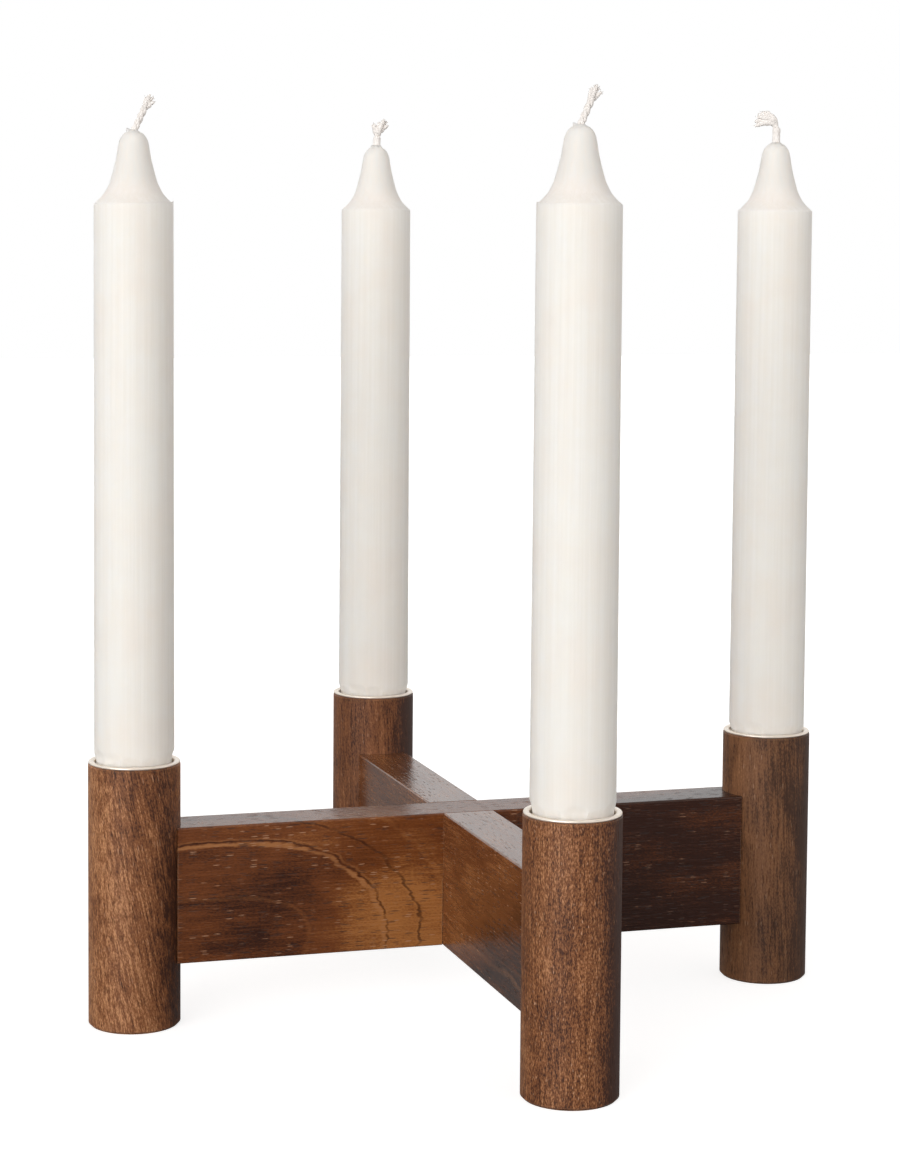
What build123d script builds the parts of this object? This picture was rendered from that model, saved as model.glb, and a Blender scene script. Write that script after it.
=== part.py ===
from build123d import *
import math
import os

# Advent candle holder: two half-lapped cross bars carry four turned posts, and each post is lined
# with a spun metal cup that holds a crown candle. Millimetres, +Z up, origin on the floor under the
# crossing. The upper cross bar runs along X and the lower one along Y.

# Candle: a standard crown candle, whose diameter sets the scale of the whole object
candle_diameter = 22.0
candle_length = 190.0
candle_tip_height = 19.4
neck_diameter = 10.2
neck_height = 10.4
nose_diameter = 8.2
nose_height = 3.4
shoulder_lip = 0.4
foot_rise = 3.5
foot_relief = 0.4
foot_taper = 1.0
foot_flat_count = 12
foot_chamfer = 0.4

# Wick: braided cotton, cast in along the whole candle
wick_diameter = 2.0
wick_clearance = 0.05
wick_bend_radius = 2.4

# Cup: thin spun metal with a flange that covers the top of the post
candle_clearance = 0.3
cup_wall = 0.5
cup_floor = 0.6
cup_depth = 18.0
cup_clearance = 0.05
cup_corner = 0.5
cup_lip_chamfer = 0.25
flange_thickness = 0.8
flange_inset = 0.1
cup_end_gap = 0.2

# Posts: round, with a thin wall of wood left around the cup
post_wall = 1.25
post_rise = 17.5
post_foot_chamfer = 0.7
post_top_chamfer = 0.3
post_spacing = 189.0

# Cross bars: planks on edge, held off the floor, with eased long edges
bar_thickness = 15.0
bar_height = 38.0
bar_floor_gap = 17.5
bar_edge_round = 0.5
bar_end_chamfer = 0.4
lap_clearance = 0.1
glue_gap = 0.1

# Dowels: two in each joint between a bar and a post
dowel_diameter = 6.0
dowel_length = 24.0
dowel_in_post = 8.0
dowel_spacing = 18.0
dowel_clearance = 0.05
dowel_end_gap = 0.5

# Sizes that follow from those above
foot_length = cup_depth + foot_rise
foot_radius = candle_diameter / 2 - foot_relief
wick_hole_radius = wick_diameter / 2 + wick_clearance
cup_bore_radius = foot_radius + candle_clearance
cup_outer_radius = cup_bore_radius + cup_wall
post_bore_radius = cup_outer_radius + cup_clearance
post_radius = post_bore_radius + post_wall
post_height = bar_floor_gap + bar_height + post_rise
cup_drop = cup_depth - flange_thickness + cup_floor
post_offset = post_spacing / 2
bar_middle = bar_floor_gap + bar_height / 2
candle_seat = post_height + flange_thickness - cup_depth
dowel_heights = (bar_middle - dowel_spacing / 2, bar_middle + dowel_spacing / 2)
dowel_outer_end = post_offset - post_radius + dowel_in_post
dowel_inner_end = dowel_outer_end - dowel_length

# Where each post stands, as a turn about Z from +X, and how its wick is bent above the wax: the
# straight stub, the lean from upright, the heading of that lean, the free run and the frayed end
stations = {
    "right": {"turn": 0, "stub": 4.2, "lean": 62, "heading": 163, "run": 3.0, "fray": 3.4, "tuft": 5.2},
    "back": {"turn": 90, "stub": 1.6, "lean": 7, "heading": -17, "run": 2.0, "fray": 4.6, "tuft": 5.2},
    "left": {"turn": 180, "stub": 0.8, "lean": 25, "heading": -17, "run": 6.4, "fray": 3.6, "tuft": 2.8},
    "front": {"turn": 270, "stub": 0.8, "lean": 22, "heading": -17, "run": 6.0, "fray": 3.4, "tuft": 2.8},
}


def candle():
    """Wax body: nosed tip over a sharp shoulder lip, straight stem, flat-sided foot, hole for the wick."""
    shoulder = candle_length - candle_tip_height
    stem_radius = candle_diameter / 2
    neck = Vector(neck_diameter / 2, shoulder + neck_height)
    nose = Vector(nose_diameter / 2, candle_length - nose_height)
    lip = Vector(stem_radius - shoulder_lip, shoulder - shoulder_lip)
    with BuildPart() as wax:
        with BuildSketch(Plane.XZ):
            with BuildLine():
                Polyline(
                    (0, candle_length),
                    (0, foot_length),
                    (stem_radius - foot_chamfer, foot_length),
                    (stem_radius, foot_length + foot_chamfer),
                    (stem_radius, shoulder),
                    lip,
                )
                TangentArc(neck, lip, tangent=neck - nose)
                Line(neck, nose)
                TangentArc(nose, (0, candle_length), tangent=nose - neck)
            make_face()
        revolve(axis=Axis.Z)
    foot = extrude(
        Pos(0, 0, foot_length) * RegularPolygon(foot_radius, foot_flat_count),
        amount=-foot_length,
        taper=foot_taper,
    )
    hole = Pos(0, 0, candle_length / 2) * Cylinder(wick_hole_radius, 2 * candle_length)
    return wax.part + foot - hole


def wick(stub, lean, heading, run, fray, tuft):
    """Round cord along the candle's axis that leans over above the wax and ends in a frayed flare."""
    tilt = math.radians(lean)
    bearing = math.radians(heading)
    outward = Vector(
        math.sin(tilt) * math.cos(bearing), math.sin(tilt) * math.sin(bearing), math.cos(tilt)
    )
    bend = Vector(0, 0, candle_length + stub)
    fray_start = bend + outward * run
    path = FilletPolyline((0, 0, 0), bend, fray_start, radius=wick_bend_radius)
    cord = sweep(Circle(wick_diameter / 2), path=path)
    end = Plane(origin=fray_start, z_dir=outward)
    flare = end * Pos(0, 0, fray / 2) * Cone(wick_diameter / 2, tuft / 2, fray)
    return cord + flare


def cup():
    """Spun liner with a closed floor and a flange; its local zero is the top of the post."""
    flange_radius = post_radius - flange_inset
    inner_floor = flange_thickness - cup_depth
    with BuildPart() as liner:
        with BuildSketch(Plane.XZ):
            with BuildLine():
                Polyline(
                    (0, inner_floor),
                    (0, -cup_drop),
                    (cup_outer_radius - cup_corner, -cup_drop),
                    (cup_outer_radius, cup_corner - cup_drop),
                    (cup_outer_radius, 0),
                    (flange_radius, 0),
                    (flange_radius, flange_thickness - cup_lip_chamfer),
                    (flange_radius - cup_lip_chamfer, flange_thickness),
                    (cup_bore_radius + cup_lip_chamfer, flange_thickness),
                    (cup_bore_radius, flange_thickness - cup_lip_chamfer),
                    (cup_bore_radius, inner_floor),
                    close=True,
                )
            make_face()
        revolve(axis=Axis.Z)
    return liner.part


def dowel_holes():
    """Blind holes for one bar-to-post joint, in the place of the post that stands on +X."""
    length = dowel_length + 2 * dowel_end_gap
    middle = (dowel_inner_end + dowel_outer_end) / 2
    holes = Part()
    for height in dowel_heights:
        hole = Cylinder(dowel_diameter / 2 + dowel_clearance, length)
        holes += Pos(middle, 0, height) * Rot(0, 90, 0) * hole
    return holes


def dowel_pair():
    """Two wooden pins for one bar-to-post joint, in the place of the post on +X."""
    pin = Cylinder(dowel_diameter / 2, dowel_length)
    middle = (dowel_inner_end + dowel_outer_end) / 2
    pins = [Pos(middle, 0, height) * Rot(0, 90, 0) * pin for height in dowel_heights]
    return Compound(children=pins)


def post():
    """Turned post on +X: eased foot, chamfered top, bore for the cup, two dowel holes."""
    column = Cylinder(post_radius, post_height, align=(Align.CENTER, Align.CENTER, Align.MIN))
    rims = column.edges().filter_by(GeomType.CIRCLE).sort_by(Axis.Z)
    column = chamfer(rims[-1], post_top_chamfer)
    rims = column.edges().filter_by(GeomType.CIRCLE).sort_by(Axis.Z)
    column = chamfer(rims[0], post_foot_chamfer)
    bore_depth = cup_drop + cup_end_gap
    bore = Pos(0, 0, post_height - bore_depth) * Cylinder(
        post_bore_radius, bore_depth, align=(Align.CENTER, Align.CENTER, Align.MIN)
    )
    return Pos(post_offset, 0, 0) * (column - bore) - dowel_holes()


def cross_bar(notch_side):
    """Plank on edge along X with coped ends and half-lap notch: +1 opens it upward, -1 downward."""
    section = Plane.YZ * Rectangle(bar_thickness, bar_height)
    section = fillet(section.vertices(), bar_edge_round)
    plank = Pos(0, 0, bar_middle) * extrude(section, amount=post_offset, both=True)
    notch_width = bar_thickness + 2 * lap_clearance
    notch_reach = bar_height / 2 + lap_clearance / 2
    notch = Pos(0, 0, bar_middle + notch_side * (bar_height - notch_reach)) * Box(
        notch_width, 2 * bar_thickness, bar_height
    )
    cope_radius = post_radius + glue_gap
    cope = Pos(post_offset, 0, bar_middle) * Cylinder(cope_radius, 2 * post_height)
    arris = post_offset - math.sqrt(cope_radius**2 - (bar_thickness / 2) ** 2)
    easing_side = math.sqrt(2) * bar_end_chamfer
    easing = Rot(0, 0, 45) * Box(easing_side, easing_side, 2 * bar_height)
    end_cuts = cope + dowel_holes()
    for side in (-1, 1):
        end_cuts += Pos(arris, side * bar_thickness / 2, bar_middle) * easing
    plank -= notch
    for turn in (0, 180):
        plank -= Rot(0, 0, turn) * end_cuts
    return plank


nodes = {
    "cross_bar_upper": cross_bar(-1),
    "cross_bar_lower": Rot(0, 0, 90) * cross_bar(1),
}
for name, station in stations.items():
    at_station = Rot(0, 0, station["turn"])
    centre = (at_station * Pos(post_offset, 0, 0)).position
    bend = {key: value for key, value in station.items() if key != "turn"}
    nodes["post_" + name] = at_station * post()
    nodes["cup_" + name] = Pos(centre.X, centre.Y, post_height) * cup()
    nodes["candle_" + name] = Pos(centre.X, centre.Y, candle_seat) * candle()
    nodes["wick_" + name] = Pos(centre.X, centre.Y, candle_seat) * wick(**bend)
    nodes["dowels_" + name] = at_station * dowel_pair()

os.makedirs("parts", exist_ok=True)
for name, shape in nodes.items():
    export_step(shape, "parts/" + name + ".step")
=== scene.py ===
import math
import random

import bpy
from mathutils import Matrix, Vector, geometry, noise


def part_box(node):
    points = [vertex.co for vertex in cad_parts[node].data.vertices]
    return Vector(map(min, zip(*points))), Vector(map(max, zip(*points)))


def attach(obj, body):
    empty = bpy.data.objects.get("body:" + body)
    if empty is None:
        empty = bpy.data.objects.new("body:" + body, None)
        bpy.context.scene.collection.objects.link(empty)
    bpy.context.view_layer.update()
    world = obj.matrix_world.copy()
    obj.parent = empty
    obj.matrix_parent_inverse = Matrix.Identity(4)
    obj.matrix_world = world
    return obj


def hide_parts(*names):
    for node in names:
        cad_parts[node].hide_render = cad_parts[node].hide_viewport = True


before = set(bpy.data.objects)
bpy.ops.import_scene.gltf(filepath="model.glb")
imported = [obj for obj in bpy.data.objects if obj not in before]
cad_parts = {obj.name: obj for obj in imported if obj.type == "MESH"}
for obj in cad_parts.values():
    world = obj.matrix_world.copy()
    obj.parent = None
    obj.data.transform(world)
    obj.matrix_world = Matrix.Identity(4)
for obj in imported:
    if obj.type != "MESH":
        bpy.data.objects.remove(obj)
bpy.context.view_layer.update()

# Advent candle holder: the solids of the wooden posts, bars and dowels stay and get their wood here.
# The candles, wicks and metal cups are built again with the small forms that the solids leave out.
# Lengths in this script are millimetres, and MM turns them into the scene's metres.
MM = 0.001
METRE = 1000.0
SIDES = ("left", "right", "front", "back")


# Viewpoint and light

# The picture's height and its focal length in its own pixels
FRAME_HEIGHT = 1176
FOCAL_PIXELS = 2725.6
SENSOR_WIDTH = 36
CAMERA_PLACE = Vector((-230.40, -735.13, 218.25)) * MM
CAMERA_YAW = math.radians(17.108)
CAMERA_PITCH = math.radians(4.416)
CAMERA_ROLL = math.radians(0.446)
CAMERA_SHIFT = -0.12

KEY_TURN = math.radians(-47)
KEY_RISE = math.radians(6)
KEY_SPREAD = math.radians(50)
KEY_STRENGTH = 2.96
KEY_COLOUR = (1.0, 0.98, 0.965)
# Fill from the room: its level at eye height, the share of it overhead, and two brighter quarters
FILL_COLOUR = (1.0, 0.955, 0.92, 1.0)
FILL_LEVEL = 0.83
OVERHEAD_SHARE = 0.24
REFLECTOR_LEVEL = 1.95
REFLECTOR_HEADING = (0.70, -0.69, 0.17)
BACK_LEVEL = 0.6
BACK_HEADING = (0.20, 0.98, 0.0)
# Quarters that gloss mirrors: the backdrop behind and above the object, and the room at its right
BACKDROP_HEADING = (0.6 * math.sin(CAMERA_YAW), 0.6 * math.cos(CAMERA_YAW), 0.8)
RIGHT_HEADING = (math.cos(CAMERA_YAW), -math.sin(CAMERA_YAW), 0.0)
# Floor: its half width in metres, its tone for light and for the eye, its own glow, and its share in gloss
FLOOR_REACH = 4.0
FLOOR_TONE = 0.22
FLOOR_SEEN_TONE = 0.6
FLOOR_GLOW = 0.79
FLOOR_GLOSS = 0.15
WHITE = (1.0, 1.0, 1.0, 1.0)


def place_camera():
    """Camera at the viewpoint of the picture, looking down a little, with the frame shifted down."""
    forward = Vector((
        math.sin(CAMERA_YAW) * math.cos(CAMERA_PITCH),
        math.cos(CAMERA_YAW) * math.cos(CAMERA_PITCH),
        -math.sin(CAMERA_PITCH),
    ))
    level = Vector((math.cos(CAMERA_YAW), -math.sin(CAMERA_YAW), 0))
    upward = level.cross(forward)
    right = math.cos(CAMERA_ROLL) * level + math.sin(CAMERA_ROLL) * upward
    up = math.cos(CAMERA_ROLL) * upward - math.sin(CAMERA_ROLL) * level
    lens = bpy.data.cameras.new("camera")
    lens.sensor_width = SENSOR_WIDTH
    lens.lens = FOCAL_PIXELS / FRAME_HEIGHT * SENSOR_WIDTH
    lens.shift_y = CAMERA_SHIFT
    lens.clip_start = 0.01
    camera = bpy.data.objects.new("camera", lens)
    turn = Matrix((right, up, -forward)).transposed().to_4x4()
    camera.matrix_world = Matrix.Translation(CAMERA_PLACE) @ turn
    bpy.context.scene.collection.objects.link(camera)
    bpy.context.scene.camera = camera


# Node helpers

def put(tree, kind, inputs=None, **settings):
    """Adds a node, sets its options, and links or fills its inputs, given by name or number."""
    node = tree.nodes.new(kind)
    for name, value in settings.items():
        setattr(node, name, value)
    for key, value in (inputs or {}).items():
        if isinstance(value, bpy.types.NodeSocket):
            tree.links.new(value, node.inputs[key])
        else:
            node.inputs[key].default_value = value
    return node


def maths(tree, operation, first, second=0.0, third=0.0):
    """Result of one math node."""
    return put(tree, "ShaderNodeMath", {0: first, 1: second, 2: third}, operation=operation).outputs[0]


def times(tree, first, second):
    """Product of two values."""
    return maths(tree, "MULTIPLY", first, second)


def plus(tree, first, second):
    """Sum of two values."""
    return maths(tree, "ADD", first, second)


def minus(tree, first, second):
    """First value less the second."""
    return maths(tree, "SUBTRACT", first, second)


def vector_maths(tree, operation, first, second=(0, 0, 0)):
    """Vector result of one vector math node."""
    return put(tree, "ShaderNodeVectorMath", {0: first, 1: second}, operation=operation).outputs[0]


def dot(tree, first, second):
    """Dot product of two vectors."""
    node = put(tree, "ShaderNodeVectorMath", {0: first, 1: second}, operation="DOT_PRODUCT")
    return node.outputs["Value"]


def distance(tree, vector):
    """Length of a vector."""
    return put(tree, "ShaderNodeVectorMath", {0: vector}, operation="LENGTH").outputs["Value"]


def split(tree, vector):
    """The three values of a vector."""
    return put(tree, "ShaderNodeSeparateXYZ", {0: vector}).outputs


def combine(tree, along, across, up):
    """Vector of three values."""
    return put(tree, "ShaderNodeCombineXYZ", {0: along, 1: across, 2: up}).outputs[0]


def ramp(tree, value, low, high, out_low=0.0, out_high=1.0):
    """Soft step from out_low to out_high while the value goes from low to high."""
    node = put(tree, "ShaderNodeMapRange", {0: value, 1: low, 2: high, 3: out_low, 4: out_high})
    node.interpolation_type = "SMOOTHSTEP"
    return node.outputs[0]


def blend(tree, factor, first, second, mode="MIX"):
    """Colour between two colours."""
    node = put(tree, "ShaderNodeMix", data_type="RGBA", blend_type=mode)
    for key, value in ((0, factor), (6, first), (7, second)):
        if isinstance(value, bpy.types.NodeSocket):
            tree.links.new(value, node.inputs[key])
        else:
            node.inputs[key].default_value = value
    return node.outputs[2]


def cloud(tree, position, detail=2.0, roughness=0.5, scale=1.0):
    """Noise node at that position."""
    return put(tree, "ShaderNodeTexNoise", {
        "Vector": position, "Scale": scale, "Detail": detail, "Roughness": roughness,
    })


def group_tree(name, inputs, outputs):
    """Empty node group with named sockets: returns it with its inner inputs and outputs."""
    group = bpy.data.node_groups.new(name, "ShaderNodeTree")
    kinds = {float: "NodeSocketFloat", Vector: "NodeSocketVector", "colour": "NodeSocketColor"}
    for label, kind, value in inputs:
        socket = group.interface.new_socket(label, in_out="INPUT", socket_type=kinds[kind])
        if value is not None:
            socket.default_value = value
    for label, kind in outputs:
        group.interface.new_socket(label, in_out="OUTPUT", socket_type=kinds[kind])
    start = group.nodes.new("NodeGroupInput")
    end = group.nodes.new("NodeGroupOutput")
    return group, start.outputs, end.inputs


def tone(red, green, blue):
    """Scene colour from a screen colour in steps of 0 to 255."""
    channels = []
    for step in (red, green, blue):
        share = step / 255
        channels.append(share / 12.92 if share <= 0.04045 else ((share + 0.055) / 1.055) ** 2.4)
    return (*channels, 1.0)


def seen_white(tree, gloss):
    """1 for what is seen straight or through glass, gloss for what is mirrored, 0 for other light."""
    path = put(tree, "ShaderNodeLightPath")
    mirrored = times(tree, path.outputs["Is Glossy Ray"], gloss)
    seen = maths(tree, "MAXIMUM", path.outputs["Is Camera Ray"], mirrored)
    return maths(tree, "MAXIMUM", seen, path.outputs["Is Transmission Ray"])


def backdrop_share(tree):
    """1 towards the bright backdrop behind and above, less towards the room in front and at right."""
    towards = put(tree, "ShaderNodeTexCoord").outputs["Generated"]
    bright = ramp(tree, dot(tree, towards, BACKDROP_HEADING), -0.1, 0.65, 0.12, 1.0)
    return times(tree, bright, ramp(tree, dot(tree, towards, RIGHT_HEADING), 0.1, 0.7, 1.0, 0.35))


def light_studio():
    """Wide soft key from the front left, fill all round, a reflector at right and light from behind."""
    world = bpy.data.worlds.new("studio")
    world.use_nodes = True
    bpy.context.scene.world = world
    tree = world.node_tree
    tree.nodes.clear()
    towards = put(tree, "ShaderNodeTexCoord").outputs["Generated"]
    at_right = dot(tree, towards, REFLECTOR_HEADING)
    at_back = dot(tree, towards, BACK_HEADING)
    level = ramp(tree, at_right, 0.35, 0.95, FILL_LEVEL, REFLECTOR_LEVEL)
    level = plus(tree, level, ramp(tree, at_back, 0.1, 0.8, 0.0, BACK_LEVEL))
    height = split(tree, towards)[2]
    level = times(tree, level, ramp(tree, height, 0.05, 0.6, 1.0, OVERHEAD_SHARE))
    fill = put(tree, "ShaderNodeBackground", {"Color": FILL_COLOUR, "Strength": level})
    white = put(tree, "ShaderNodeBackground", {"Color": WHITE, "Strength": 1.0})
    mixed = put(tree, "ShaderNodeMixShader", {
        0: seen_white(tree, backdrop_share(tree)), 1: fill.outputs[0], 2: white.outputs[0],
    })
    put(tree, "ShaderNodeOutputWorld", {"Surface": mixed.outputs[0]})

    key = bpy.data.lights.new("key", "SUN")
    key.angle = KEY_SPREAD
    key.energy = KEY_STRENGTH
    key.color = KEY_COLOUR
    lamp = bpy.data.objects.new("key", key)
    towards = Vector((
        math.sin(KEY_TURN) * math.cos(KEY_RISE),
        -math.cos(KEY_TURN) * math.cos(KEY_RISE),
        math.sin(KEY_RISE),
    ))
    lamp.rotation_euler = towards.to_track_quat("Z", "Y").to_euler()
    lamp.location = towards
    bpy.context.scene.collection.objects.link(lamp)


def lay_floor():
    """Plain pale floor that reads as white and keeps the soft shadow."""
    corners = [(FLOOR_REACH * x, FLOOR_REACH * y, 0) for x, y in ((-1, -1), (1, -1), (1, 1), (-1, 1))]
    mesh = bpy.data.meshes.new("floor")
    mesh.from_pydata(corners, [], [(0, 1, 2, 3)])
    floor = bpy.data.objects.new("floor", mesh)
    bpy.context.scene.collection.objects.link(floor)
    material = bpy.data.materials.new("pale_floor")
    material.use_nodes = True
    tree = material.node_tree
    tree.nodes.clear()
    seen = put(tree, "ShaderNodeLightPath").outputs["Is Camera Ray"]
    plain = [(level, level, level, 1.0) for level in (FLOOR_TONE, FLOOR_SEEN_TONE)]
    matt = put(tree, "ShaderNodeBsdfDiffuse", {"Color": blend(tree, seen, *plain)})
    away = distance(tree, put(tree, "ShaderNodeTexCoord").outputs["Object"])
    glow = ramp(tree, away, 0.1, 0.5, FLOOR_GLOW, 1.0)
    strength = times(tree, seen_white(tree, FLOOR_GLOSS), glow)
    glow = put(tree, "ShaderNodeEmission", {"Color": WHITE, "Strength": strength})
    both = put(tree, "ShaderNodeAddShader", {0: matt.outputs[0], 1: glow.outputs[0]})
    put(tree, "ShaderNodeOutputMaterial", {"Surface": both.outputs[0]})
    mesh.materials.append(material)


# Shared effects as node groups

# Marks in the wood, in millimetres: a mark's share of its cell, the width of the flecks that carry painted
# glints and the share of cells with one, the dark pores' length, width and share, and how far the pores and
# the flecks' painted shadow lie from the flecks
MARK_SHARE = 0.55
FLECK_WIDTH, FLECK_SHARE = 0.27, 0.24
PORE_LENGTH, PORE_WIDTH, PORE_SHARE = 2.6, 0.34, 0.4
PORE_SHIFT = (310.0, 57.0, 23.0)
FLECK_SHADE_SHIFT = (0.2, 0.24, 0.24)
# Tint of bare pale fibre in the pale ring lines and of the flecks' painted glints, and what a pore makes of
# the dark tone
PALE_FIBRE_AND_GLINT = (0.9, 0.8, 0.7, 1.0)
PORE_TINT = (0.45, 0.42, 0.40, 1.0)
# Step between the numbers that pick how a ring is marked, and the run in which a fade deepens
RING_PICK_STEP = 3.6
FADE_RUN = 44.0


def line_mask(tree, value, middle, width):
    """1 where the value is at the middle, falling to 0 at that width from it."""
    away = maths(tree, "ABSOLUTE", minus(tree, value, middle))
    return ramp(tree, away, 0.25 * width, width, 1.0, 0.0)


def dashes(tree, place, along, across, share):
    """Short crisp marks along X, about along by across millimetres, in that share of the cells."""
    narrow = MARK_SHARE / across
    scale = combine(tree, maths(tree, "DIVIDE", MARK_SHARE, along), narrow, narrow)
    cells = put(tree, "ShaderNodeTexVoronoi", {
        "Vector": vector_maths(tree, "MULTIPLY", place, scale), "Scale": 1.0, "Randomness": 1.0,
    })
    pick = put(tree, "ShaderNodeSeparateColor", {0: cells.outputs["Color"]}).outputs[0]
    mark = ramp(tree, cells.outputs["Distance"], 0.2, 0.36, 1.0, 0.0)
    return times(tree, mark, ramp(tree, pick, 1.0 - share, 1.12 - share))


def signed_cloud(tree, place, along, across, detail, contrast):
    """Noise from -0.5 to 0.5 with features of about along by across millimetres."""
    scaled = vector_maths(tree, "MULTIPLY", place, (1 / along, 1 / across, 1 / across))
    raw = cloud(tree, scaled, detail, 0.6).outputs[0]
    return ramp(tree, raw, 0.5 - contrast, 0.5 + contrast, -0.5, 0.5)


def shell_radius(tree, place, squeeze):
    """Distance from the middle of shells that are drawn out along the grain."""
    squeezed = vector_maths(tree, "MULTIPLY", place, squeeze)
    return distance(tree, squeezed)


def grain_group():
    """Figure of oiled hardwood with painted glints and shadows at its flecks, and a dark core and fade that
    some pieces use as painted shade. Position is in millimetres with X along the grain.
    """
    group, given, result = group_tree(
        "wood_grain",
        (
            ("Position", Vector, None),
            ("Offset", Vector, (0, 0, 0)),
            ("Heart", Vector, (0, 0, 0)),
            ("Ring Stretch", float, 2.0),
            ("Ring Spacing", float, 8.6),
            ("Ring Reach", float, 45.0),
            ("Ring Strength", float, 0.6),
            ("Ring Seed", float, 0.0),
            ("Ring Phase", float, 0.0),
            ("Ring Tail", float, 0.0),
            ("Wander", float, 1.0),
            ("Core", float, 10.0),
            ("Core Depth", float, 0.0),
            ("Core Shift", Vector, (0, 0, 0)),
            ("Lift", float, 0.0),
            ("Lift Reach", float, 10.0),
            ("Lift Shift", Vector, (0, 0, 0)),
            ("Fade", float, 0.0),
            ("Fade Start", float, 0.0),
            ("Fade Heading", Vector, (1, 0, 0)),
            ("Fleck Length", float, 1.3),
            ("Level", float, 0.5),
            ("Zones", float, 0.5),
            ("Streaks", float, 0.4),
            ("Speckle", float, 0.4),
            ("Flecks", float, 0.5),
            ("Pores", float, 0.5),
            ("Satin", float, 0.46),
            ("Dark", "colour", (0.07, 0.03, 0.01, 1)),
            ("Middle", "colour", (0.12, 0.05, 0.02, 1)),
            ("Light", "colour", (0.25, 0.12, 0.06, 1)),
        ),
        (("Color", "colour"), ("Roughness", float), ("Height", float)),
    )
    place = vector_maths(group, "ADD", given["Position"], given["Offset"])

    # Slow wander of the grain, then the growth rings as shells round the heart, drawn out along the grain
    # and, by the tail's share, straight behind the heart
    wander = cloud(group, vector_maths(group, "MULTIPLY", place, (0.018, 0.05, 0.05)), 2.0).outputs[1]
    wander = vector_maths(group, "SUBTRACT", wander, (0.5, 0.5, 0.5))
    wander = vector_maths(group, "MULTIPLY", wander, (12, 6, 6))
    wander = put(group, "ShaderNodeVectorMath", {
        0: wander, "Scale": given["Wander"],
    }, operation="SCALE").outputs["Vector"]
    from_heart = vector_maths(group, "SUBTRACT", given["Position"], given["Heart"])
    from_heart = vector_maths(group, "ADD", from_heart, wander)
    squeeze = combine(group, maths(group, "DIVIDE", 1.0, given["Ring Stretch"]), 1.0, 1.0)
    steps = split(group, from_heart)
    behind = times(group, steps[0], minus(group, 1.0, given["Ring Tail"]))
    arched = combine(group, maths(group, "MAXIMUM", steps[0], behind), steps[1], steps[2])
    shell = shell_radius(group, arched, squeeze)
    ripple = times(group, signed_cloud(group, place, 11.0, 3.2, 4.0, 0.3), 1.5)
    rippled = plus(group, shell, ripple)
    turns = maths(group, "DIVIDE", rippled, given["Ring Spacing"])
    turns = plus(group, turns, given["Ring Phase"])
    turn = maths(group, "FRACT", turns)
    pick = maths(group, "MULTIPLY_ADD", maths(group, "FLOOR", turns), RING_PICK_STEP, given["Ring Seed"])
    chance = maths(group, "MULTIPLY_ADD", maths(group, "SINE", pick), 0.5, 0.5)
    reach_end = times(group, given["Ring Reach"], 1.3)
    strength = ramp(group, shell, given["Ring Reach"], reach_end, 1.0, 0.0)
    strength = times(group, strength, given["Ring Strength"])
    late = times(group, ramp(group, turn, 0.35, 0.95), strength)

    # A marked ring is a pale band with a thin dark line beside it; farther out, a plain one is a dark line
    broken = ramp(group, signed_cloud(group, place, 9.0, 4.0, 2.0, 0.25), -0.35, 0.1, 0.55, 1.0)
    lined = times(group, strength, broken)
    marked = times(group, lined, ramp(group, chance, 0.74, 1.0))
    plain = times(group, lined, ramp(group, chance, 0.04, 0.3, 1.0, 0.0))
    faint = times(group, line_mask(group, turn, 0.27, 0.05), 0.4)
    pale = maths(group, "MAXIMUM", line_mask(group, turn, 0.09, 0.09), faint)
    pale = times(group, times(group, pale, marked), 0.85)
    beside_pale = times(group, line_mask(group, turn, 0.2, 0.045), marked)
    half_reach = times(group, given["Ring Reach"], 0.5)
    outer = ramp(group, rippled, half_reach, plus(group, half_reach, 4.0))
    alone = times(group, line_mask(group, turn, 0.09, 0.06), times(group, plain, outer))
    thin = times(group, maths(group, "MAXIMUM", beside_pale, alone), 0.75)

    # Broad zones, fine streaks and speckle, dark pores along the grain, and short flecks with a painted
    # glint and a painted shadow beside each
    zones = times(group, signed_cloud(group, place, 24.0, 9.0, 3.0, 0.28), given["Zones"])
    streaks = times(group, signed_cloud(group, place, 11.0, 0.55, 3.0, 0.26), given["Streaks"])
    speckle = times(group, signed_cloud(group, place, 0.85, 0.3, 2.0, 0.2), given["Speckle"])
    patchy = ramp(group, signed_cloud(group, place, 12.0, 7.0, 2.0, 0.2), -0.3, 0.2, 0.3, 1.0)
    patchy = times(group, patchy, given["Flecks"])
    flecks = dashes(group, place, given["Fleck Length"], FLECK_WIDTH, FLECK_SHARE)
    flecks = times(group, flecks, patchy)
    apart = vector_maths(group, "ADD", place, PORE_SHIFT)
    pores = times(group, dashes(group, apart, PORE_LENGTH, PORE_WIDTH, PORE_SHARE), given["Pores"])
    # Painted shadow beside each fleck, merged into the pores' mask from here on
    beside = vector_maths(group, "ADD", place, FLECK_SHADE_SHIFT)
    shade = dashes(group, beside, given["Fleck Length"], FLECK_WIDTH, FLECK_SHARE)
    pores = maths(group, "MAXIMUM", pores, times(group, times(group, shade, patchy), 0.7))

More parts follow.
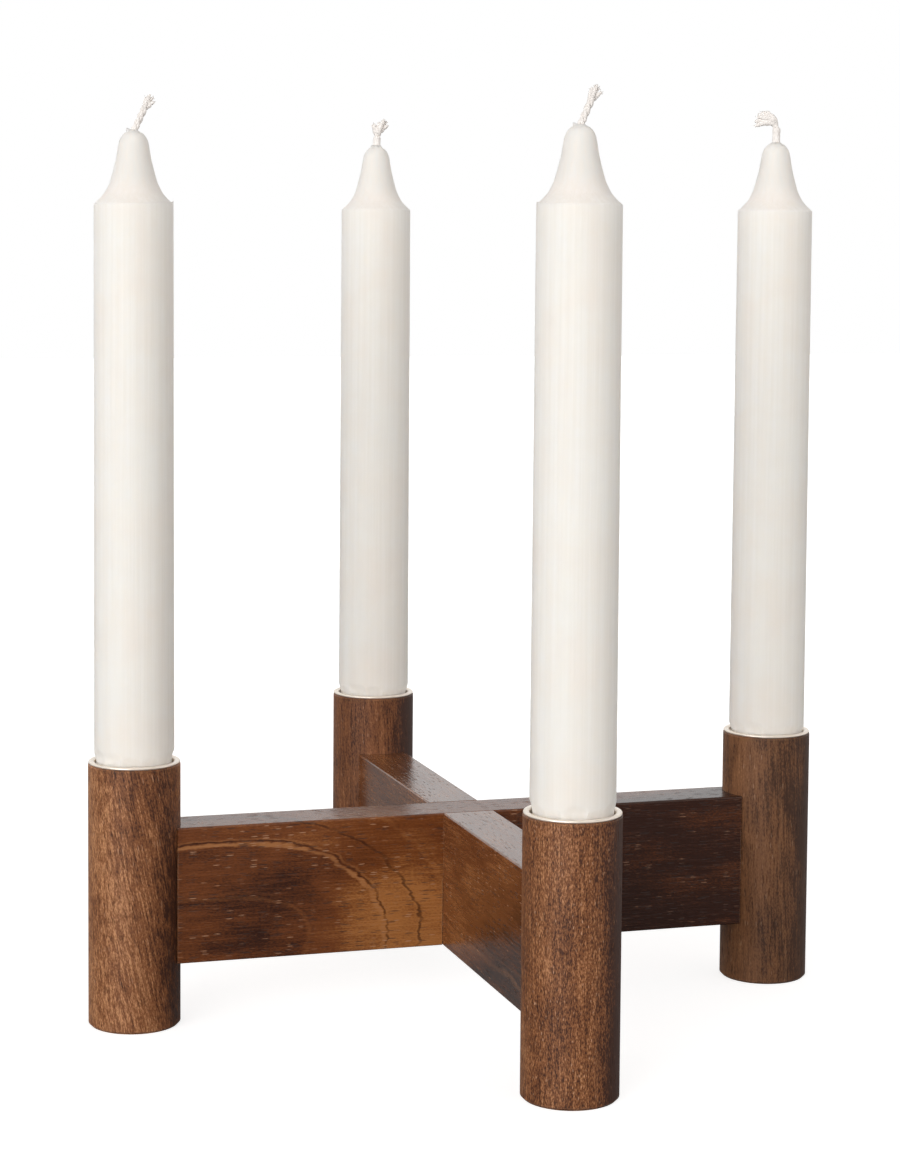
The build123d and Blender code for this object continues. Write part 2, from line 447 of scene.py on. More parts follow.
    # Dark core and light patch beside the heart, and a fade along one heading; the posts' core and the
    # upper bar's fade are painted shade
    core_and_shade_place = vector_maths(group, "SUBTRACT", from_heart, given["Core Shift"])
    core = plus(group, shell_radius(group, core_and_shade_place, squeeze), ripple)
    core_and_shade_start = times(group, given["Core"], 0.25)
    core_and_shade_end = times(group, given["Core"], 1.25)
    core = ramp(group, core, core_and_shade_start, core_and_shade_end, 1.0, 0.0)
    core = times(group, core, given["Core Depth"])
    lift_place = vector_maths(group, "SUBTRACT", from_heart, given["Lift Shift"])
    lift = plus(group, shell_radius(group, lift_place, squeeze), ripple)
    lift_start = times(group, given["Lift Reach"], 0.25)
    lift = ramp(group, lift, lift_start, given["Lift Reach"], 1.0, 0.0)
    lift = times(group, lift, given["Lift"])
    along = dot(group, given["Position"], given["Fade Heading"])
    fade_end = plus(group, given["Fade Start"], FADE_RUN)
    fade = times(group, ramp(group, along, given["Fade Start"], fade_end), given["Fade"])

    level = plus(group, given["Level"], plus(group, zones, streaks))
    level = minus(group, plus(group, level, speckle), core)
    level = minus(group, level, times(group, late, 0.07))
    level = plus(group, level, lift)
    level = minus(group, level, fade)
    colour = blend(group, ramp(group, level, 0.0, 0.55), given["Dark"], given["Middle"])
    colour = blend(group, ramp(group, level, 0.5, 1.1), colour, given["Light"])
    colour = blend(group, pale, colour, blend(group, 0.03, given["Light"], PALE_FIBRE_AND_GLINT))
    colour = blend(group, thin, colour, given["Dark"])
    deep = blend(group, 1.0, given["Dark"], PORE_TINT, "MULTIPLY")
    colour = blend(group, pores, colour, deep)
    # Painted glint: the flecks are lightened towards pale fibre, more where the wood is lighter
    glint = times(group, flecks, ramp(group, level, -0.1, 0.5, 0.15, 1.0))
    colour = blend(group, glint, colour, blend(group, 0.15, given["Light"], PALE_FIBRE_AND_GLINT))
    group.links.new(colour, result["Color"])

    matt = plus(group, times(group, flecks, 0.10), times(group, pores, 0.6))
    matt = plus(group, matt, times(group, streaks, 0.4))
    group.links.new(plus(group, matt, given["Satin"]), result["Roughness"])
    height = plus(group, times(group, streaks, 0.5), 0.5)
    height = minus(group, height, times(group, pores, 0.5))
    height = minus(group, height, times(group, flecks, 0.2))
    group.links.new(height, result["Height"])
    return group


def edge_highlight_group():
    """Mask of the eased edges, broken up a little, where a pale painted highlight goes."""
    group, given, result = group_tree(
        "eased_edge_highlight",
        (("Position", Vector, None), ("Width", float, 0.0008)),
        (("Mask", float),),
    )
    rounded = put(group, "ShaderNodeBevel", {"Radius": given["Width"]}, samples=6)
    plain = put(group, "ShaderNodeNewGeometry")
    facing = dot(group, rounded.outputs[0], plain.outputs["Normal"])
    edge_highlight = ramp(group, facing, 0.985, 0.82)
    patches = cloud(group, given["Position"], 3.0, 0.6, 0.16).outputs[0]
    edge_highlight = times(group, edge_highlight, ramp(group, patches, 0.30, 0.62, 0.25, 1.0))
    group.links.new(edge_highlight, result["Mask"])
    return group


def mottle_group():
    """Slow uneven tone with fine lines along one axis, for surfaces that were drawn or spun."""
    group, given, result = group_tree(
        "drawn_lines",
        (
            ("Position", Vector, None),
            ("Line Scale", Vector, (1.0, 1.0, 0.02)),
            ("Patch Scale", float, 0.06),
        ),
        (("Lines", float), ("Patches", float)),
    )
    scaled = vector_maths(group, "MULTIPLY", given["Position"], given["Line Scale"])
    lines = cloud(group, scaled, 3.0, 0.6)
    group.links.new(ramp(group, lines.outputs[0], 0.25, 0.75), result["Lines"])
    patches = cloud(group, given["Position"], 3.0, 0.55, given["Patch Scale"])
    group.links.new(ramp(group, patches.outputs[0], 0.25, 0.75), result["Patches"])
    return group


WOOD_GRAIN = grain_group()
EASED_EDGE_HIGHLIGHT = edge_highlight_group()
DRAWN_LINES = mottle_group()


# Materials

IN_MILLIMETRES = (METRE, METRE, METRE)


def principled(name):
    """New material with an empty principled shader: returns the material, its tree and the shader."""
    material = bpy.data.materials.new(name)
    material.use_nodes = True
    tree = material.node_tree
    tree.nodes.clear()
    shader = put(tree, "ShaderNodeBsdfPrincipled")
    put(tree, "ShaderNodeOutputMaterial", {"Surface": shader.outputs[0]})
    return material, tree, shader


def wood(name, turn, centre, edge_highlight_tone, edge_highlight_share, gloss, **figure):
    """Oiled hardwood with the grain along X after the turn and a painted highlight on its eased edges:
    centre is the piece's middle.
    """
    material, tree, shader = principled(name)
    shift = -(turn @ Vector(centre))
    place = put(tree, "ShaderNodeMapping", {
        "Vector": put(tree, "ShaderNodeTexCoord").outputs["Object"],
        "Location": shift,
        "Rotation": turn.to_euler(),
        "Scale": IN_MILLIMETRES,
    }).outputs[0]
    grain = put(tree, "ShaderNodeGroup", node_tree=WOOD_GRAIN)
    tree.links.new(place, grain.inputs["Position"])
    for label, value in figure.items():
        grain.inputs[label.replace("_", " ").title()].default_value = value
    # Painted highlight: the eased edges are blended towards a pale tone
    edges = put(tree, "ShaderNodeGroup", node_tree=EASED_EDGE_HIGHLIGHT)
    tree.links.new(place, edges.inputs["Position"])
    edge_highlight = times(tree, edges.outputs["Mask"], edge_highlight_share)
    tree.links.new(blend(tree, edge_highlight, grain.outputs["Color"], edge_highlight_tone), shader.inputs["Base Color"])
    tree.links.new(grain.outputs["Roughness"], shader.inputs["Roughness"])
    bump = put(tree, "ShaderNodeBump", {
        "Strength": 0.55, "Distance": 0.18 * MM, "Height": grain.outputs["Height"],
    })
    tree.links.new(bump.outputs[0], shader.inputs["Normal"])
    shader.inputs["Specular IOR Level"].default_value = gloss
    return material


def dress(node, material):
    """Gives a solid its material."""
    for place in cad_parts[node].material_slots:
        place.material = material


def footprint(node):
    """Middle of a solid's footprint, then its lowest and highest level, in millimetres."""
    low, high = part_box(node)
    middle = [(low[axis] + high[axis]) / 2 * METRE for axis in range(2)]
    return (*middle, low[2] * METRE, high[2] * METRE)


ALONG_X = Matrix.Identity(3)
ALONG_Y = Matrix.Rotation(math.radians(-90), 3, "Z")
# Pale tone of the painted highlight on the eased edges
EDGE_HIGHLIGHT_TONE = tone(176, 140, 112)
UPPER_BAR_TONES = {"dark": tone(49, 20, 7), "middle": tone(111, 60, 26), "light": tone(170, 111, 60)}
LOWER_BAR_TONES = {"dark": tone(45, 20, 9), "middle": tone(108, 61, 31), "light": tone(166, 110, 66)}
POST_TONES = {"dark": tone(60, 31, 17), "middle": tone(128, 79, 46), "light": tone(192, 138, 95)}
GREY_POST_TONES = {"dark": tone(62, 37, 22), "middle": tone(126, 84, 53), "light": tone(184, 138, 98)}
BEECH_TONES = {"dark": tone(176, 136, 98), "middle": tone(202, 166, 128), "light": tone(220, 190, 156)}

# Each post's slant of the grain in degrees, and its own cut of the figure; each heart lies just off the
# post's right side, so the dark core is painted shade there
POST_SLANTS = {"left": 12, "right": 2, "front": 1, "back": 4}
POST_CUTS = {
    "left": {
        "heart": (20, -5, -15), "offset": (900, 10, 5), "core": 11.5, "core_depth": 0.58, "level": 0.65,
        "streaks": 0.68, "speckle": 0.5, "flecks": 0.5, "fleck_length": 2.4, **POST_TONES,
    },
    "right": {
        "heart": (60, -5, -14), "offset": (130, 260, 75), "core": 18, "core_depth": 0.44, "level": 0.42,
        "streaks": 0.4, "speckle": 0.3, "flecks": 0.4, "fleck_length": 1.6, **GREY_POST_TONES,
    },
    "front": {
        "heart": (-30, -6, -15), "offset": (510, 130, 340), "core": 15, "core_depth": 0.8, "level": 0.45,
        "streaks": 0.4, "speckle": 0.75, "flecks": 0.8, "fleck_length": 0.8, **POST_TONES,
    },
    "back": {
        "heart": (10, -4, -15), "offset": (730, 470, 180), "core": 14, "core_depth": 0.55, "level": 0.42,
        "streaks": 0.45, "speckle": 0.4, "flecks": 0.4, "fleck_length": 1.2, **POST_TONES,
    },
}


def finish_wood():
    """Wood of the bars, posts and dowels. Every bar and post has its own cut of the grain."""
    dress("cross_bar_upper", wood(
        "bar_wood_upper", ALONG_X, (0, 0, 0), EDGE_HIGHLIGHT_TONE, edge_highlight_share=0.5, gloss=0.38,
        heart=(-62.8, -7.5, 23), ring_stretch=1.415, ring_spacing=7.4, ring_reach=50, ring_strength=0.9,
        ring_seed=-12.83, ring_phase=0.5, ring_tail=1.0, wander=0.3,
        core=21, core_depth=0.27, core_shift=(5, 0, 5), lift=0.48, lift_reach=24, lift_shift=(46, 0, 2),
        # The fade is painted shade: it darkens mostly the right half of the front face towards the dark
        # tone
        fade=0.46, fade_start=28, fade_heading=(1, -5, 0), level=0.52, zones=0.36, streaks=0.2,
        speckle=0.3, flecks=0.8, fleck_length=1.9, pores=0.6, satin=0.26, **UPPER_BAR_TONES,
    ))
    dress("cross_bar_lower", wood(
        "bar_wood_lower", ALONG_Y, (0, 0, 0), EDGE_HIGHLIGHT_TONE, edge_highlight_share=0.5, gloss=1.0,
        heart=(30, 30, -14), offset=(400, 30, 90),
        ring_stretch=9.0, ring_spacing=11.0, ring_reach=70, ring_strength=0.3,
        # The fade darkens the front arm towards its front end and its bottom
        fade=0.46, fade_start=-18, fade_heading=(-1, 0, -1.5), level=0.62, zones=0.35, streaks=0.36,
        speckle=0.3, flecks=0.7, fleck_length=2.0, pores=0.45, satin=0.2, **LOWER_BAR_TONES,
    ))
    for side, cut in POST_CUTS.items():
        across, along, _, _ = footprint("post_" + side)
        upright = Matrix.Rotation(math.radians(90 + POST_SLANTS[side]), 3, "Y")
        dress("post_" + side, wood(
            "post_wood_" + side, upright, (across, along, 0), EDGE_HIGHLIGHT_TONE, edge_highlight_share=0.45, gloss=0.35,
            ring_stretch=14.0, ring_spacing=7.0, ring_reach=60, ring_strength=0.12,
            zones=0.35, pores=0.5, satin=0.48, **cut,
        ))
    pin_wood = wood(
        "dowel_wood", ALONG_X, (0, 0, 0), tone(226, 200, 168), edge_highlight_share=0.3, gloss=0.3,
        heart=(0, 40, 10), offset=(70, 20, 10),
        ring_stretch=14.0, ring_spacing=3.0, ring_reach=200, ring_strength=0.3,
        zones=0.3, streaks=0.5, flecks=0.2, pores=0.4, satin=0.6, **BEECH_TONES,
    )
    for side in SIDES:
        dress("dowels_" + side, pin_wood)


def own_position(tree):
    """Position in a piece's own axes, in millimetres."""
    place = put(tree, "ShaderNodeTexCoord").outputs["Object"]
    return vector_maths(tree, "MULTIPLY", place, IN_MILLIMETRES)


def candle_wax():
    """Warm white wax with faint drawn lines and a soft sheen, with painted shade that makes it darker and
    greyer at the tip.
    """
    material, tree, shader = principled("candle_wax")
    place = own_position(tree)
    drawn = put(tree, "ShaderNodeGroup", {
        "Position": place, "Line Scale": (0.9, 0.9, 0.012), "Patch Scale": 0.05,
    }, node_tree=DRAWN_LINES)
    colour = blend(tree, drawn.outputs["Patches"], tone(251, 243, 237), tone(254, 249, 245))
    height = split(tree, place)[2]
    # Painted shade: from the shoulder up the wax is blended towards a darker grey
    colour = blend(tree, ramp(tree, height, SHOULDER - 2, SHOULDER + 10), colour, tone(233, 233, 230))
    shade = times(tree, drawn.outputs["Lines"], 0.4)
    tree.links.new(blend(tree, shade, colour, tone(240, 233, 225)), shader.inputs["Base Color"])
    tree.links.new(ramp(tree, drawn.outputs["Patches"], 0.0, 1.0, 0.45, 0.58), shader.inputs["Roughness"])
    bump = put(tree, "ShaderNodeBump", {
        "Strength": 0.18, "Distance": 0.2 * MM, "Height": drawn.outputs["Lines"],
    })
    tree.links.new(bump.outputs[0], shader.inputs["Normal"])
    shader.inputs["Subsurface Weight"].default_value = 1.0
    shader.inputs["Subsurface Radius"].default_value = (1.0, 0.97, 0.93)
    shader.inputs["Subsurface Scale"].default_value = 4 * MM
    shader.inputs["Specular IOR Level"].default_value = 0.25
    return material


def cup_metal():
    """Pale spun aluminium with fine turning rings."""
    material, tree, shader = principled("cup_metal")
    place = own_position(tree)
    radius = distance(tree, vector_maths(tree, "MULTIPLY", place, (1, 1, 0)))
    ring_place = combine(tree, radius, split(tree, place)[2], 0.0)
    spun = put(tree, "ShaderNodeGroup", {
        "Position": ring_place, "Line Scale": (2.4, 2.4, 1.0), "Patch Scale": 0.3,
    }, node_tree=DRAWN_LINES)
    handled = put(tree, "ShaderNodeGroup", {
        "Position": place, "Line Scale": (0.4, 0.4, 0.4), "Patch Scale": 0.25,
    }, node_tree=DRAWN_LINES)
    colour = blend(tree, handled.outputs["Patches"], tone(245, 235, 221), tone(253, 246, 236))
    shade = times(tree, spun.outputs["Lines"], 0.3)
    tree.links.new(blend(tree, shade, colour, tone(229, 215, 199)), shader.inputs["Base Color"])
    tree.links.new(ramp(tree, handled.outputs["Lines"], 0.0, 1.0, 0.3, 0.42), shader.inputs["Roughness"])
    bump = put(tree, "ShaderNodeBump", {
        "Strength": 0.08, "Distance": 0.05 * MM, "Height": spun.outputs["Lines"],
    })
    tree.links.new(bump.outputs[0], shader.inputs["Normal"])
    shader.inputs["Metallic"].default_value = 0.7
    return material


def wick_cotton():
    """Off-white cotton yarn with fine fibres and a little grey in patches."""
    material, tree, shader = principled("wick_cotton")
    fibres = put(tree, "ShaderNodeGroup", {
        "Position": own_position(tree), "Line Scale": (3.2, 3.2, 0.9), "Patch Scale": 0.9,
    }, node_tree=DRAWN_LINES)
    colour = blend(tree, fibres.outputs["Lines"], tone(238, 234, 230), tone(252, 250, 248))
    grey = times(tree, fibres.outputs["Patches"], 0.25)
    tree.links.new(blend(tree, grey, colour, tone(222, 216, 210)), shader.inputs["Base Color"])
    tree.links.new(ramp(tree, fibres.outputs["Lines"], 0.0, 1.0, 0.95, 0.8), shader.inputs["Roughness"])
    bump = put(tree, "ShaderNodeBump", {
        "Strength": 0.4, "Distance": 0.1 * MM, "Height": fibres.outputs["Lines"],
    })
    tree.links.new(bump.outputs[0], shader.inputs["Normal"])
    shader.inputs["Specular IOR Level"].default_value = 0.2
    return material


# Meshes

class Skin:
    """Collects rings of points, joins each run of rings into a closed tube, and makes one mesh."""

    def __init__(self):
        self.points = []
        self.faces = []

    def add(self, rings):
        """One tube through rings of equal count, closed by a fan at both ends."""
        count = len(rings[0])
        first = len(self.points)
        for ring in rings:
            self.points.extend(ring)
        for row in range(len(rings) - 1):
            here = first + row * count
            for step in range(count):
                after = (step + 1) % count
                self.faces.append((here + step, here + after, here + count + after, here + count + step))
        last = first + (len(rings) - 1) * count
        for ring, start, turned in ((rings[0], first, True), (rings[-1], last, False)):
            middle = len(self.points)
            self.points.append(sum(ring, Vector()) / count)
            for step in range(count):
                pair = (start + step, start + (step + 1) % count)
                self.faces.append((middle, *(reversed(pair) if turned else pair)))

    def build(self, name, place, material, smooth_angle):
        """The mesh as an object whose own axes stand at that place, in millimetres."""
        mesh = bpy.data.meshes.new(name)
        mesh.from_pydata([point * MM for point in self.points], [], self.faces)
        mesh.materials.append(material)
        mesh.shade_smooth()
        mesh.set_sharp_from_angle(angle=math.radians(smooth_angle))
        piece = bpy.data.objects.new(name, mesh)
        piece.location = Vector(place) * MM
        bpy.context.scene.collection.objects.link(piece)
        return piece


def smooth_run(points, steps):
    """Points on a smooth line through the given ones."""
    knots = [Vector(point) for point in points]
    run = []
    for index in range(len(knots) - 1):
        before = knots[max(index - 1, 0)]
        here, after = knots[index], knots[index + 1]
        beyond = knots[min(index + 2, len(knots) - 1)]
        span = geometry.interpolate_bezier(
            here.to_3d(), (here + (after - before) / 6).to_3d(),
            (after - (beyond - here) / 6).to_3d(), after.to_3d(), steps + 1,
        )
        run.extend(span[:-1])
    run.append(knots[-1].to_3d())
    return run


def ease(value, low, high):
    """0 below low, 1 above high, a soft step between."""
    share = min(max((value - low) / (high - low), 0.0), 1.0)
    return share * share * (3 - 2 * share)


def on_circle(angle, radius, height):
    """Point at that angle and radius round the upright axis."""
    return Vector((radius * math.cos(angle), radius * math.sin(angle), height))


# Candle sizes, from its seat on the cup's floor
CANDLE_LENGTH = 190.0
SHOULDER = 170.6
STEM_TOP_RADIUS = 10.78
STEM_FOOT_RADIUS = 11.0
FOOT_TOP = 21.5
FOOT_FLATS = 12
FOOT_CORNER_RADIUS = 10.6
FOOT_SLOPE = math.tan(math.radians(1.0))
AROUND = 8 * FOOT_FLATS

# Radius and height above the shoulder, from the shoulder's edge up to the nose
TIP_RUN = (
    (10.2, 0.5), (9.6, 1.0), (8.65, 2.0), (7.85, 3.0), (7.05, 4.5), (6.4, 6.0), (5.82, 8.0), (5.28, 10.0),
    (4.8, 12.0), (4.45, 14.0), (4.12, 16.0), (3.86, 17.0), (3.4, 18.0), (2.95, 18.6), (2.45, 19.05),
)
# Radius and height above the wax's end, where the wax climbs the wick
COLLARS = {
    "left": ((2.1, -0.15), (1.7, 0.05), (1.4, 0.35), (1.1, 0.6)),
    "front": ((2.1, -0.15), (1.7, 0.0), (1.4, 0.25), (1.1, 0.5)),
    "back": ((2.1, -0.15), (1.8, 0.15), (1.5, 0.6), (1.2, 0.8)),
    "right": ((2.1, -0.15), (1.7, 0.05), (1.4, 0.3), (1.1, 0.5)),
}
# Foot: levels of its rings, its bottom edge's easing, how far a flat's top edge may lie off the mean level,
# and how far the flat runs out there
FOOT_LEVELS = [0.0, 0.35, 4.0, 9.0, 14.0, 18.0] + [18.6 + 0.22 * step for step in range(20)]
FOOT_EASING = 0.35
FLAT_TOP_SPREAD = (-1.2, 0.9)
FLAT_RUN_OUT = 0.9
STEM_ROWS = 12
# Height of the thin fin at the shoulder's edge, and the heading where it is tallest
SHOULDER_FINS = {"left": (0.9, -22), "front": (0.6, 158), "back": (0.1, 60), "right": (0.1, 200)}
# Rings of the shoulder's edge: step inward, step up, and the share of the fin's height
FIN_RUN = ((0.0, -0.15, 0.0), (-0.04, 0.0, 1.0), (-0.2, 0.08, 0.9), (-0.36, 0.25, 0.0))
# Heading and height of a flake of wax beside the wick, its half width round the wick in radians, and the
# radius it stands at with its half width there
FLAKES = {"left": (163, 0.8), "front": (158, 0.6), "back": (150, 0.15), "right": (20, 0.2)}
FLAKE_TURN = 0.34
FLAKE_RADIUS, FLAKE_WIDTH = 1.4, 0.30


def candle_ring(side, height, radius):
    """Points of one level ring; the foot's flats cut into it and run out below their own top edges."""
    ring = []
    draw = random.Random("foot " + side)
    tops = [FOOT_TOP + draw.uniform(*FLAT_TOP_SPREAD) for _ in range(FOOT_FLATS)]
    corner = FOOT_CORNER_RADIUS * math.cos(math.pi / FOOT_FLATS)
    for step in range(AROUND):
        angle = math.tau * step / AROUND
        flat = int(angle / math.tau * FOOT_FLATS)
        from_middle = angle - (flat + 0.5) * math.tau / FOOT_FLATS
        apothem = corner - FOOT_SLOPE * (FOOT_TOP - height)
        apothem += FLAT_RUN_OUT * ease(height, tops[flat] - 3.2, tops[flat] + 0.6)
        out = min(apothem / math.cos(from_middle), radius) if height < FOOT_TOP + 2 else radius
        ring.append(on_circle(angle, out, height))
    return ring


def candle(side, material):
    """Wax body: flat-sided foot, slightly tapered stem, finned shoulder, nosed tip that climbs the wick."""
    rings = []
    for height in FOOT_LEVELS:
        inset = FOOT_EASING if height == 0.0 else 0.0
        rings.append(candle_ring(side, height, STEM_FOOT_RADIUS - inset))
    for step in range(1, STEM_ROWS + 1):
        share = step / STEM_ROWS
        height = FOOT_LEVELS[-1] + share * (SHOULDER - 0.5 - FOOT_LEVELS[-1])
        radius = STEM_FOOT_RADIUS + share * (STEM_TOP_RADIUS - STEM_FOOT_RADIUS)
        rings.append(candle_ring(side, height, radius))

    # Fin: a thin uneven edge that stands up at the shoulder's rim
    fin_height, fin_heading = SHOULDER_FINS[side]
    shift = Vector((SIDES.index(side) * 7.3, 0, 0))
    for inward, lift, fin_share in FIN_RUN:
        ring = []
        for step in range(AROUND):
            angle = math.tau * step / AROUND
            facing = (0.5 + 0.5 * math.cos(angle - math.radians(fin_heading))) ** 3
            rough = noise.noise(on_circle(angle, 3.2, 0) + shift)
            fin = fin_height * facing * (0.65 + 0.7 * rough)
            radius = STEM_TOP_RADIUS + inward
            height = SHOULDER + lift + max(fin, 0.02) * fin_share
            ring.append(on_circle(angle, radius, height))
        rings.append(ring)

    # Tip and the wax that climbs the wick
    for radius, height, _ in smooth_run(TIP_RUN, 3):
        rings.append(candle_ring(side, SHOULDER + height, radius))
    heading, flake = FLAKES[side]
    for radius, height, _ in smooth_run(COLLARS[side], 3):
        ring = []
        for step in range(AROUND):
            angle = math.tau * step / AROUND
            off = math.remainder(angle - math.radians(heading), math.tau)
            round_it, across_it = off / FLAKE_TURN, (radius - FLAKE_RADIUS) / FLAKE_WIDTH
            peak = flake * math.exp(-(round_it**2) - across_it**2)
            rough = 0.10 * noise.noise(on_circle(angle, 1.0, height) * 1.7 + shift)
            out = radius * (1 + rough) + 0.7 * peak
            ring.append(on_circle(angle, out, CANDLE_LENGTH + height + peak))
        rings.append(ring)
    skin = Skin()
    skin.add(rings)
    return skin.build("wax_" + side, seat(side), material, smooth_angle=38)


def seat(side):
    """Where a candle's own axes stand, in millimetres."""
    return footprint("candle_" + side)[:3]


# Wick: a plain core inside the wax, then three twisted strands that end in loose locks of fibre. Lines are
# given across the picture and above the wax's end: the strands' middle line, the waxed stub's height and
# thickness, a lock's thickness and the locks' ends.
WICK_HEADING = math.radians(-17)
ACROSS = Vector((math.cos(WICK_HEADING), math.sin(WICK_HEADING), 0))
DEPTH = Vector((-math.sin(WICK_HEADING), math.cos(WICK_HEADING), 0))
UP = Vector((0, 0, 1))
STRAND_RADIUS = 0.5
STRAND_OFFSET = 0.46
TWIST_PITCH = 6.2
CORE_RADIUS = 0.95
CORE_LEVELS = (0.02, 60.0, 120.0, CANDLE_LENGTH - 3.5)
STUB_STEPS = 16
# Stray hairs of a lock: their number, their thickness along their length, and the level they stay below
HAIRS = 5
HAIR_SHARES = (0.0, 0.35, 0.7, 1.0)
HAIR_RADII = (0.13, 0.12, 0.09, 0.05)
HAIR_TOP = 10.3
LOCK_SHARES = (0.8, 0.9, 1.0, 1.05, 1.08, 1.1, 1.1, 1.06, 1.0, 0.92, 0.84, 0.74, 0.6, 0.4)
WICKS = {
    "left": {
        "line": ((0, -4), (0.05, 0), (1.0, 2.2), (2.1, 4.6), (3.1, 6.6)), "stub": None, "lock": 0.58,
        "ends": ((3.2, 9.6), (3.9, 10.2), (4.7, 10.2), (5.3, 9.5), (5.5, 8.5), (4.3, 9.9)),
    },
    "front": {
        "line": ((0, -4), (0.05, 0), (0.8, 2.2), (1.7, 4.4), (2.5, 6.3)), "stub": None, "lock": 0.55,
        "ends": ((2.5, 9.4), (3.2, 10.1), (4.0, 10.2), (4.6, 9.5), (4.9, 8.5), (3.6, 9.8)),
    },
    "back": {
        "line": ((0, -4), (0.0, 0), (0.1, 2.0), (0.25, 4.0)), "stub": (3.4, 1.2), "lock": 0.74,
        "ends": ((-1.2, 7.2), (-0.6, 7.6), (0.6, 8.1), (2.5, 9.0), (3.3, 8.3), (3.5, 7.0)),
    },
    "right": {
        "line": ((0, -4), (0, 2.0), (0, 4.2), (-0.5, 5.6)), "stub": (4.6, 1.14), "lock": 0.8,
        "ends": (
            (-5.9, 5.2), (-6.2, 6.4), (-5.9, 7.7), (-5.2, 8.8), (-4.2, 9.4), (-2.9, 9.6), (-4.6, 7.0),
            (-3.6, 8.3), (-3.9, 6.0), (-2.6, 8.9), (-4.9, 6.1), (-4.4, 8.0),
        ),
    },
}


def tube(points, radii, sides):
    """Rings of points round a line."""
    rings = []
    normal = None
    for index, point in enumerate(points):
        ahead = points[min(index + 1, len(points) - 1)] - points[max(index - 1, 0)]
        ahead.normalize()
        if normal is None:
            normal = ahead.orthogonal().normalized()
        else:
            normal = (normal - ahead * normal.dot(ahead)).normalized()
        other = ahead.cross(normal)
        ring = []
        for step in range(sides):
            angle = math.tau * step / sides
            ring.append(point + radii[index] * (math.cos(angle) * normal + math.sin(angle) * other))
        rings.append(ring)
    return rings


def lock(skin, draw, start, heading, end, thickness):
    """One loose lock of fibre from a strand's end, thick and lumpy, with a few stray hairs."""
    reach = (end - start).length
    bow = start + heading * reach * 0.4
    pull = end - (end - bow).normalized() * reach * 0.3
    points = geometry.interpolate_bezier(start, bow, pull, end, len(LOCK_SHARES))
    radii = [
        thickness * share * (1 + 0.35 * noise.noise(point * 1.7))
        for share, point in zip(LOCK_SHARES, points)
    ]
    skin.add(tube(points, radii, 10))
    out = (points[-1] - points[-3]).normalized()
    for _ in range(HAIRS):
        root = points[-draw.randint(2, 6)]
        lean = (out + Vector([draw.uniform(-0.7, 0.7) for _ in range(3)])).normalized()
        length = draw.uniform(0.5, 1.1)
        curl = Vector([draw.uniform(-0.25, 0.25) for _ in range(3)])
        hair = [root + lean * length * share + curl * share * share for share in HAIR_SHARES]
        hair = [Vector((spot.x, spot.y, min(spot.z, CANDLE_LENGTH + HAIR_TOP))) for spot in hair]
        skin.add(tube(hair, HAIR_RADII, 5))


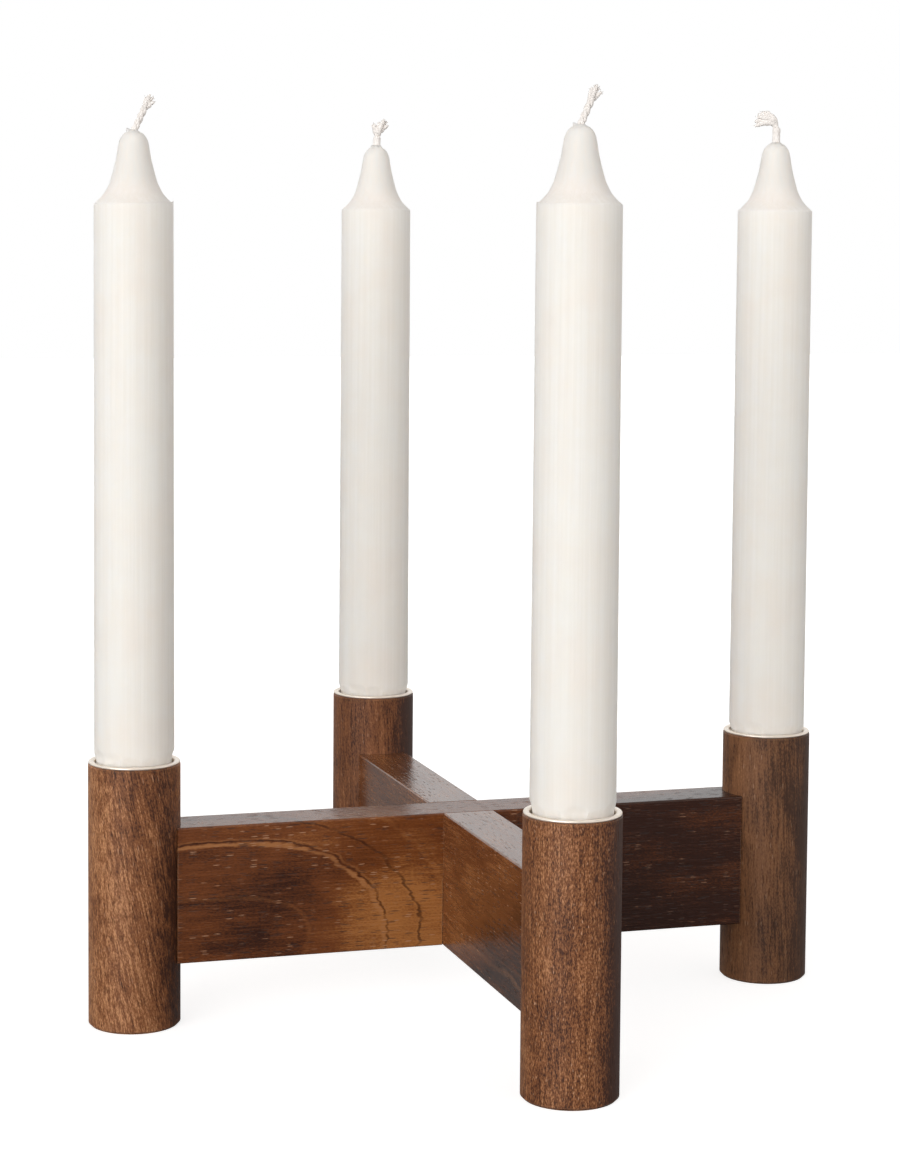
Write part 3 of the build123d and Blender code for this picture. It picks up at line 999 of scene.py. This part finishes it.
def wick(side, material):
    """Twisted cotton that leaves the wax, bends over and ends in loose locks."""
    shape = WICKS[side]
    draw = random.Random("wick " + side)
    line = [Vector((across, up)) for across, up, _ in smooth_run(shape["line"], 12)]
    skin = Skin()

    def at(across, up, depth=0.0):
        return across * ACROSS + depth * DEPTH + (CANDLE_LENGTH + up) * UP

    core = [Vector((0, 0, height)) for height in CORE_LEVELS]
    skin.add(tube(core, [CORE_RADIUS] * len(core), 12))
    if shape["stub"]:
        top, thickness = shape["stub"]
        levels = [-1.0 + (top + 1.0) * step / STUB_STEPS for step in range(STUB_STEPS + 1)]
        middles = [min(line, key=lambda spot: abs(spot.y - level)).x for level in levels]
        points = [at(across, level) for across, level in zip(middles, levels)]
        radii = [thickness * (1 + 0.12 * noise.noise(point * 0.9)) for point in points[:-1]]
        skin.add(tube(points, radii + [thickness * 0.8], 16))
    lengths = [0.0]
    for before, after in zip(line, line[1:]):
        lengths.append(lengths[-1] + (after - before).length)
    for strand in range(3):
        points = []
        for index, (middle, length) in enumerate(zip(line, lengths)):
            ahead = (line[min(index + 1, len(line) - 1)] - line[max(index - 1, 0)]).normalized()
            turn = math.tau * (length / TWIST_PITCH + strand / 3)
            spot = middle + STRAND_OFFSET * math.sin(turn) * Vector((ahead.y, -ahead.x))
            points.append(at(spot.x, spot.y, STRAND_OFFSET * math.cos(turn)))
        radii = [STRAND_RADIUS * (1 + 0.2 * noise.noise(point * 1.4)) for point in points]
        skin.add(tube(points, radii, 12))
        heading = (points[-1] - points[-3]).normalized()
        for across, up in shape["ends"][strand::3]:
            end = at(across + draw.uniform(-0.2, 0.2), up - draw.uniform(0.0, 0.4), draw.uniform(-0.8, 0.8))
            lock(skin, draw, points[-2], heading, end, shape["lock"])
    return skin.build("yarns_" + side, seat(side), material, smooth_angle=70)


CUP_STEPS = 96
# Radius and height from the post's top, from the middle of the cup's underside round to its floor
CUP_RUN = (
    (0.02, -17.8), (6.0, -17.8), (10.5, -17.8), (10.95, -17.7), (11.28, -17.4), (11.4, -16.9), (11.4, -9.0),
    (11.4, -0.25), (11.46, -0.08), (11.6, 0.0), (12.0, 0.0), (12.25, 0.02), (12.46, 0.12), (12.58, 0.3),
    (12.58, 0.46), (12.48, 0.64), (12.3, 0.75), (12.1, 0.79), (11.8, 0.8), (11.5, 0.79), (11.22, 0.72),
    (11.02, 0.56), (10.92, 0.34), (10.9, 0.1), (10.9, -8.0), (10.9, -16.5), (10.82, -16.9), (10.6, -17.12),
    (10.2, -17.2), (6.0, -17.2), (0.02, -17.2),
)


def cup(side, material):
    """Spun cup with a rounded flange edge, a rounded mouth and a closed floor."""
    angles = [math.tau * step / CUP_STEPS for step in range(CUP_STEPS)]
    skin = Skin()
    skin.add([[on_circle(angle, radius, height) for angle in angles] for radius, height in CUP_RUN])
    across, along, _ = seat(side)
    top = footprint("post_" + side)[3]
    return skin.build("spun_cup_" + side, (across, along, top), material, smooth_angle=50)


def assemble():
    """Builds the four candles with their wicks and cups, and says what each one rides on."""
    wax, cotton, metal = candle_wax(), wick_cotton(), cup_metal()
    for side in SIDES:
        body = side + "_candle"
        wax_piece = candle(side, wax)
        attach(wax_piece, body)
        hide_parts("candle_" + side)
        yarn_piece = wick(side, cotton)
        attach(yarn_piece, body)
        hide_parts("wick_" + side)
        cup_piece = cup(side, metal)
        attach(cup_piece, "holder")
        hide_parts("cup_" + side)


place_camera()
light_studio()
lay_floor()
finish_wood()
assemble()

bpy.context.scene.view_settings.view_transform = "Standard"
